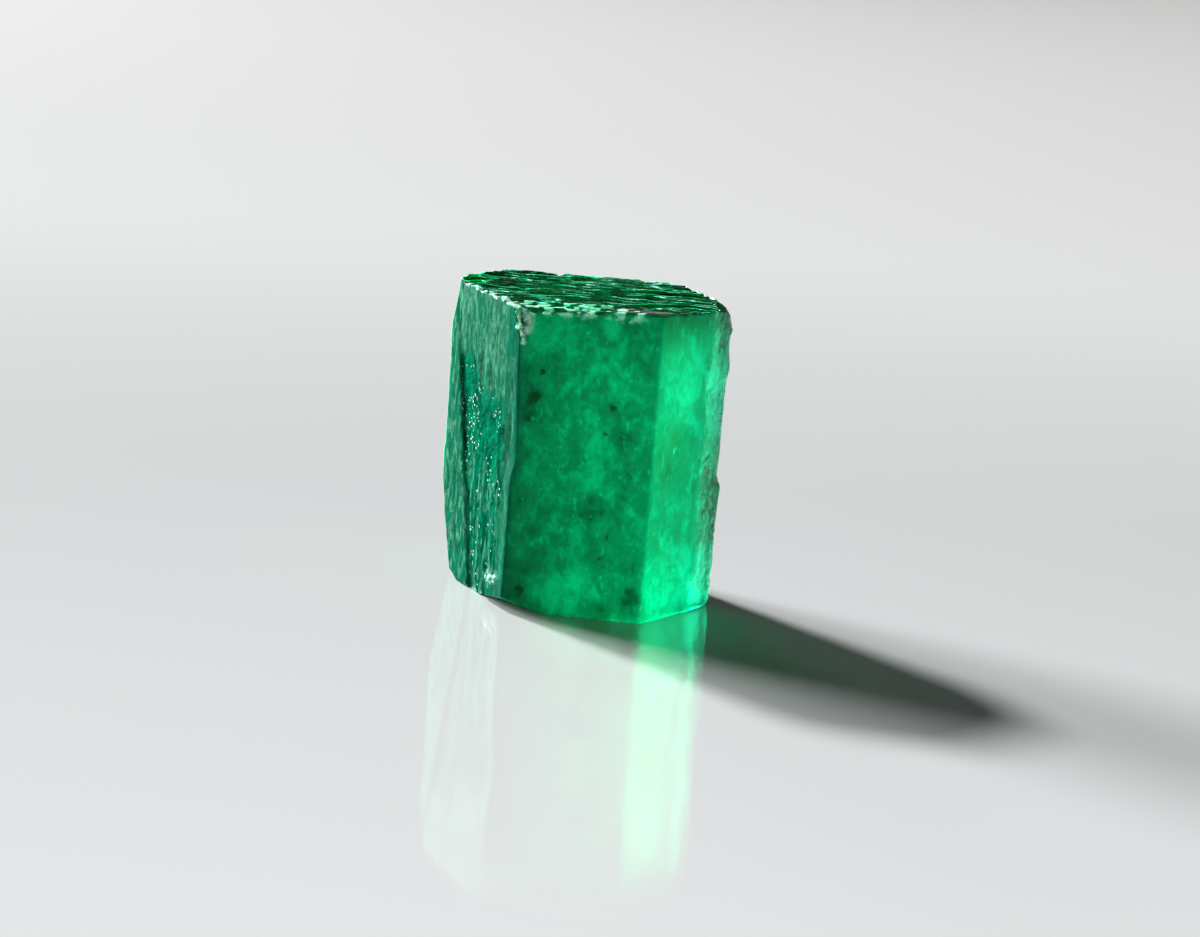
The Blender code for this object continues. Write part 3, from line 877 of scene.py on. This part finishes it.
def dense_greens(tree, marks):
    """The two-tone greens of the skins that hide the inside, by name."""
    greens = {}
    for name, (mark, low, high) in DENSE_GREENS.items():
        sockets = {"Value": marks[mark], "From Min": MID_MARKS[0], "From Max": MID_MARKS[1]}
        share = add(tree, "ShaderNodeMapRange", sockets)
        sockets = {0: share, 6: linear(low), 7: linear(high)}
        greens[name] = add(tree, "ShaderNodeMix", sockets, 2, data_type="RGBA")
    return greens


def sugar_grains(tree, place, sugar):
    """How high each small crystal grain stands, from 0 to 1, and how brightly it is faceted."""
    sockets = {"Vector": place, "Scale": 1.0 / (SUGAR_SIZE * MM)}
    way_out = add(tree, "ShaderNodeTexVoronoi", sockets, distance="CHEBYCHEV")
    cell = way_out.node.outputs["Color"]
    chances = add(tree, "ShaderNodeSeparateColor", {"Color": cell}).node.outputs
    chance = add(tree, "ShaderNodeMath", {0: chances[0], 1: sugar}, operation="ADD")
    sockets = {"Value": chance, "From Min": SUGAR_PICKED[0], "From Max": SUGAR_PICKED[1]}
    picked = add(tree, "ShaderNodeMapRange", sockets)
    sockets = {"Value": chances[1], "To Min": SUGAR_RADIUS[0], "To Max": SUGAR_RADIUS[1]}
    radius = add(tree, "ShaderNodeMapRange", sockets)
    way_out = add(tree, "ShaderNodeMath", {0: way_out, 1: radius}, operation="DIVIDE")
    dome = add(tree, "ShaderNodeMapRange", {"Value": way_out, "From Min": 1.0, "From Max": 0.0})
    domes = add(tree, "ShaderNodeMath", {0: dome, 1: picked}, operation="MULTIPLY")
    return domes, chances[2]


def skin_relief(tree, place, skin, marks, frost, domes):
    """Fine relief that is too small to carve: shingles, grain, striae and crystal grains."""
    height = add(tree, "ShaderNodeSeparateXYZ", {"Vector": place}, "Z")
    drift = add(tree, "ShaderNodeMath", {0: marks["mottles"], 1: SHINGLE_DRIFT}, operation="MULTIPLY")
    sockets = {0: height, 1: 1.0 / (SHINGLE_RISE * MM), 2: drift}
    shingles = add(tree, "ShaderNodeMath", sockets, operation="MULTIPLY_ADD")
    shingles = add(tree, "ShaderNodeMath", {0: shingles}, operation="FRACT")
    shingles = add(tree, "ShaderNodeMath", {0: 1.0, 1: shingles}, operation="SUBTRACT")
    shingles = add(tree, "ShaderNodeMath", {0: shingles, 1: skin["etch"]}, operation="MULTIPLY")
    shingles = add(tree, "ShaderNodeMath", {0: shingles, 1: skin["dense"]}, operation="MULTIPLY")
    sockets = {"Value": skin["dense"], "To Min": 1.0, "To Max": GRAIN_ON_DENSE}
    etched = add(tree, "ShaderNodeMapRange", sockets)
    etched = add(tree, "ShaderNodeMath", {0: etched, 1: skin["etch"]}, operation="MULTIPLY")
    grain = add(tree, "ShaderNodeMath", {0: marks["grain"], 1: etched}, operation="MULTIPLY")
    striae = add(tree, "ShaderNodeMath", {0: marks["striae"], 1: frost}, operation="MULTIPLY")
    reliefs = (
        (shingles, SHINGLE_DEPTH),
        (grain, GRAIN_DEPTH),
        (striae, STRIAE_DEPTH),
        (domes, SUGAR_DEPTH),
    )
    under = {}
    for raised, depth in reliefs:
        normal = add(tree, "ShaderNodeBump", {"Height": raised, "Distance": depth * MM, **under})
        under = {"Normal": normal}
    return normal


def skin_roughness(tree, skin, marks, frost):
    """Glossy where the growth face is clean, and duller with cloud under it or frost on it."""
    sockets = {"Value": marks["clouds"], "From Min": CLOUD_MARKS[0], "From Max": CLOUD_MARKS[1]}
    sockets.update({"To Min": CLOUD_SPREAD[0], "To Max": CLOUD_SPREAD[1]})
    spread = add(tree, "ShaderNodeMapRange", sockets)
    spread = add(tree, "ShaderNodeMath", {0: spread, 1: skin["cloud"]}, operation="MULTIPLY")
    sockets = {"Value": skin["etch"], "To Min": 1.0, "To Max": ETCHED_CLEAR}
    clearer = add(tree, "ShaderNodeMapRange", sockets)
    sockets = {0: spread, 1: clearer, 2: POLISH}
    spread = add(tree, "ShaderNodeMath", sockets, operation="MULTIPLY_ADD")
    sockets = {"Value": skin["dense"], "To Min": CHALK[0], "To Max": CHALK[1]}
    chalk = add(tree, "ShaderNodeMapRange", sockets)
    return add(tree, "ShaderNodeMath", {0: frost, 1: chalk, 2: spread}, operation="MULTIPLY_ADD")


def raw_beryl():
    """Beryl coloured by chromium, grown and worn but never cut: glossy where a growth face is left,
    frosted or sugary where it was etched, and cloudy green inside."""
    material = bpy.data.materials.new("raw_beryl")
    material.use_nodes = True
    tree = material.node_tree
    shader = tree.nodes["Principled BSDF"]
    place = add(tree, "ShaderNodeTexCoord", output="Object")
    skin = {
        name: add(tree, "ShaderNodeAttribute", output="Fac", attribute_name=name)
        for name in SKIN_LAYERS
    }
    marks = noise_marks(tree, place)
    greens = dense_greens(tree, marks)
    domes, facets = sugar_grains(tree, place, skin["sugar"])
    frost = ragged_edge(tree, marks["crumbs"], FROST_RAGGED, skin["frost"], FROST_EDGE)
    crushed = ragged_edge(tree, marks["crumbs"], FROST_RAGGED, skin["sugar"], CRUSHED_EDGE)
    crust = ragged_edge(tree, marks["grain"], CRUST_RAGGED, skin["sugar"], CRUST_EDGE)
    sockets = {"Value": domes, "From Min": SUGAR_FACE[0], "From Max": SUGAR_FACE[1]}
    grains = add(tree, "ShaderNodeMapRange", sockets)

    sockets = {0: skin["etch"], 6: greens["plain"], 7: greens["etched"]}
    hidden = add(tree, "ShaderNodeMix", sockets, 2, data_type="RGBA")
    sockets = {0: skin["dense"], 6: linear(CLEAR_FROST), 7: greens["frosted"]}
    frosted = add(tree, "ShaderNodeMix", sockets, 2, data_type="RGBA")
    colour = inside_green(tree, skin, marks)
    for share, over in (
        (skin["dense"], hidden),
        # painted shade on the top and the dark rims
        (skin["painted_shade"], greens["painted_shade_green"]),
        (frost, frosted),
        # white grains, partly a painted glint on each
        (grains, linear(SUGAR_GLINT_COLOUR)),
        (crushed, linear(CRUSHED)),
    ):
        colour = add(tree, "ShaderNodeMix", {0: share, 6: colour, 7: over}, 2, data_type="RGBA")
    tree.links.new(colour, shader.inputs["Base Color"])

    crust = add(tree, "ShaderNodeMath", {0: crust, 1: CRUST_COVER}, operation="MULTIPLY")
    cover = add(tree, "ShaderNodeMath", {0: grains, 1: crust}, operation="MAXIMUM")
    sockets = {0: skin["dense"], 1: DENSE_COVER, 2: cover}
    cover = add(tree, "ShaderNodeMath", sockets, operation="MULTIPLY_ADD")
    see_through = add(tree, "ShaderNodeMapRange", {"Value": cover, "To Min": 1.0, "To Max": 0.0})
    tree.links.new(see_through, shader.inputs["Transmission Weight"])
    tree.links.new(skin_roughness(tree, skin, marks, frost), shader.inputs["Roughness"])
    glint = add(tree, "ShaderNodeMath", {0: grains, 1: facets}, operation="MULTIPLY")
    tree.links.new(glint, shader.inputs["Coat Weight"])
    relief = skin_relief(tree, place, skin, marks, frost, domes)
    tree.links.new(relief, shader.inputs["Normal"])

    shader.inputs["IOR"].default_value = BERYL_IOR
    shader.inputs["Specular IOR Level"].default_value = 0.0
    shader.inputs["Specular Tint"].default_value = SHEEN_TINT
    shader.inputs["Subsurface Weight"].default_value = 1.0
    shader.inputs["Subsurface Radius"].default_value = CLOUD_DEPTHS
    shader.inputs["Subsurface Scale"].default_value = CLOUD_DEPTH * MM
    shader.inputs["Coat Roughness"].default_value = GLINT_ROUGHNESS
    shader.inputs["Coat IOR"].default_value = BERYL_IOR
    density = max(ABSORBED_PER_MM) / MM
    passed = [1.0 - absorbed / MM / density for absorbed in ABSORBED_PER_MM]
    volume = add(tree, "ShaderNodeVolumeAbsorption", {"Color": (*passed, 1.0), "Density": density})
    tree.links.new(volume, tree.nodes["Material Output"].inputs["Volume"])
    return material


def crystal(frame):
    """The solid cut finer, worn, and dressed in beryl."""
    bm = bmesh.new()
    bm.from_mesh(frame["nodes"]["emerald_crystal"].data)
    bmesh.ops.remove_doubles(bm, verts=bm.verts, dist=WELD * MM)
    bmesh.ops.scale(bm, verts=bm.verts, vec=(1.0 / MM, 1.0 / MM, 1.0 / MM))
    bmesh.ops.subdivide_edges(bm, edges=bm.edges, cuts=CUTS, use_grid_fill=True)
    wear_skin(bm)
    bmesh.ops.scale(bm, verts=bm.verts, vec=(MM, MM, MM))
    mesh = bpy.data.meshes.new("raw_emerald")
    bm.to_mesh(mesh)
    bm.free()
    mesh.shade_smooth()
    mesh.set_sharp_from_angle(angle=math.radians(SHARP_ANGLE))
    mesh.materials.append(raw_beryl())
    piece = bpy.data.objects.new("raw_emerald", mesh)
    bpy.context.scene.collection.objects.link(piece)
    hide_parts("emerald_crystal")
    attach(piece, "root")


# ---- Studio --------------------------------------------------------------------------------------


def studio_world():
    """Pale walls low round the horizon, and a dim room above them."""
    world = bpy.data.worlds.new("studio")
    bpy.context.scene.world = world
    world.use_nodes = True
    tree = world.node_tree
    background = tree.nodes["Background"]
    towards = add(tree, "ShaderNodeTexCoord", output="Generated")
    height = add(tree, "ShaderNodeSeparateXYZ", {"Vector": towards}, "Z")
    sockets = {"Value": height, "To Min": WALL_RADIANCE, "To Max": DARK_RADIANCE}
    sockets["From Min"] = math.sin(math.radians(WALL_TOP))
    sockets["From Max"] = math.sin(math.radians(WALL_TOP + WALL_FADE))
    radiance = add(tree, "ShaderNodeMapRange", sockets)
    background.inputs["Color"].default_value = linear(WALL_COLOUR)
    tree.links.new(radiance, background.inputs["Strength"])


def pale_floor():
    """Polished pale stone, such as a honed and sealed tile: it mirrors at a low angle."""
    mesh = bpy.data.meshes.new("floor")
    bm = bmesh.new()
    bmesh.ops.create_grid(bm, x_segments=1, y_segments=1, size=FLOOR_HALF)
    bm.to_mesh(mesh)
    bm.free()
    floor = bpy.data.objects.new("floor", mesh)
    floor.location.z = -FLOOR_GAP
    bpy.context.scene.collection.objects.link(floor)
    material = bpy.data.materials.new("pale_polished_stone")
    material.use_nodes = True
    shader = material.node_tree.nodes["Principled BSDF"]
    shader.inputs["Base Color"].default_value = linear(FLOOR_COLOUR)
    shader.inputs["Roughness"].default_value = FLOOR_ROUGHNESS
    mesh.materials.append(material)


def key_light():
    """One small soft lamp far off at the back left."""
    data = bpy.data.lights.new("key", "SUN")
    data.energy = KEY_STRENGTH
    data.angle = math.radians(KEY_SOFTNESS)
    light = bpy.data.objects.new("key", data)
    light.rotation_euler = direction(KEY_AZIMUTH, KEY_ELEVATION).to_track_quat("Z", "Y").to_euler()
    bpy.context.scene.collection.objects.link(light)


def soft_box(name):
    """A low lamp that lights the cloud in the crystal from behind."""
    azimuth, elevation, size, watts = SOFTBOXES[name]
    data = bpy.data.lights.new(name, "AREA")
    data.shape = "DISK"
    data.size = size
    data.energy = watts
    light = bpy.data.objects.new(name, data)
    towards = direction(azimuth, elevation)
    light.location = towards * SOFTBOX_DISTANCE
    light.rotation_euler = towards.to_track_quat("Z", "Y").to_euler()
    light.visible_camera = False
    light.visible_glossy = False  # or the polished floor and the top would mirror it
    bpy.context.scene.collection.objects.link(light)


def camera():
    data = bpy.data.cameras.new("camera")
    data.lens = LENS
    data.sensor_width = SENSOR
    data.clip_start = NEAREST
    data.clip_end = FARTHEST
    view = bpy.data.objects.new("camera", data)
    backwards = direction(CAMERA_AZIMUTH - 90.0, CAMERA_PITCH)
    level = backwards.to_track_quat("Z", "Y").to_matrix().to_4x4()
    roll = Matrix.Rotation(math.radians(CAMERA_ROLL), 4, "Z")
    view.matrix_world = Matrix.Translation(CAMERA_PLACE) @ level @ roll
    bpy.context.scene.collection.objects.link(view)
    bpy.context.scene.camera = view


def studio():
    bpy.context.scene.view_settings.view_transform = "Standard"
    studio_world()
    pale_floor()
    key_light()
    for name in SOFTBOXES:
        soft_box(name)
    camera()


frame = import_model()
studio()
crystal(frame)
